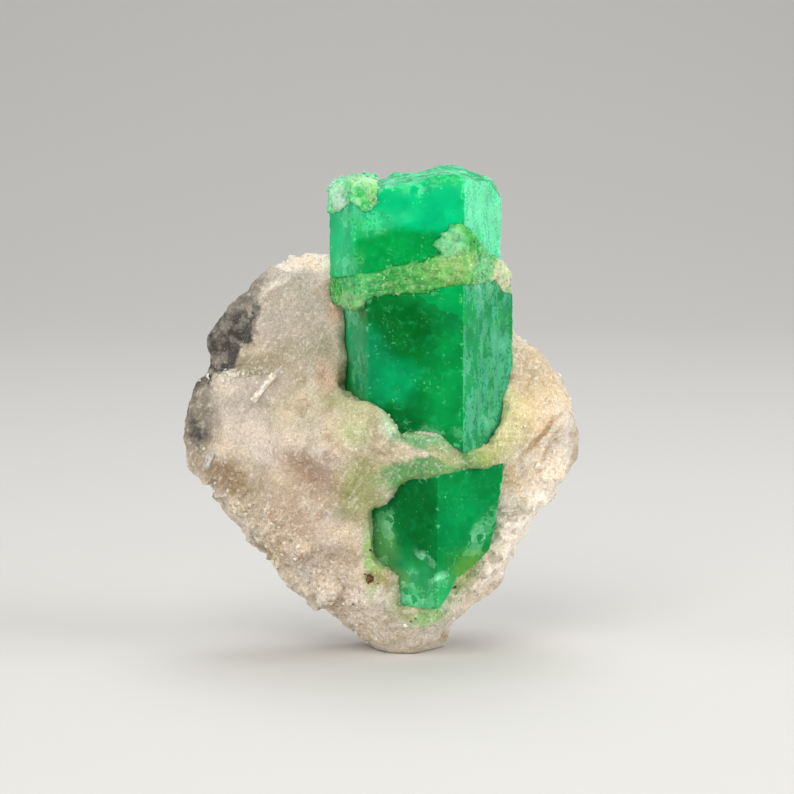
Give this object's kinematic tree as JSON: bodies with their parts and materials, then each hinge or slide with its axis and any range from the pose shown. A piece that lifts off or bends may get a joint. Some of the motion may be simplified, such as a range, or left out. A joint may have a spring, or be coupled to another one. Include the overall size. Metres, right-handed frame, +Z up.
{
  "type": "emerald in matrix",
  "caption": "Stout hexagonal emerald crystal, broken and healed in the rock, standing in a pale lump of sugary quartz and feldspar.",
  "frame": {"origin": "middle of the specimen's box seen from above, on the flat that it stands on", "axes": "+Z up along the crystal, -Y towards the viewer who sees the crystal, +X to that viewer's right"},
  "size_m": [0.0498, 0.0264, 0.061],
  "materials": {
    "rock": "sugary broken quartz and feldspar, in part glassy and see-through",
    "emerald": "vitreous natural beryl faces, see-through, lightly etched",
    "seam": "granular regrown beryl and quartz",
    "rust": "dull iron-stained grain"
  },
  "bodies": {
    "root": {"matrix": "rock", "emerald_top": "emerald", "emerald_middle": "emerald", "emerald_base": "emerald", "healed_seam": "seam", "corner_crust": "seam", "rusty_grain": "rust"}
  },
  "joints": []
}
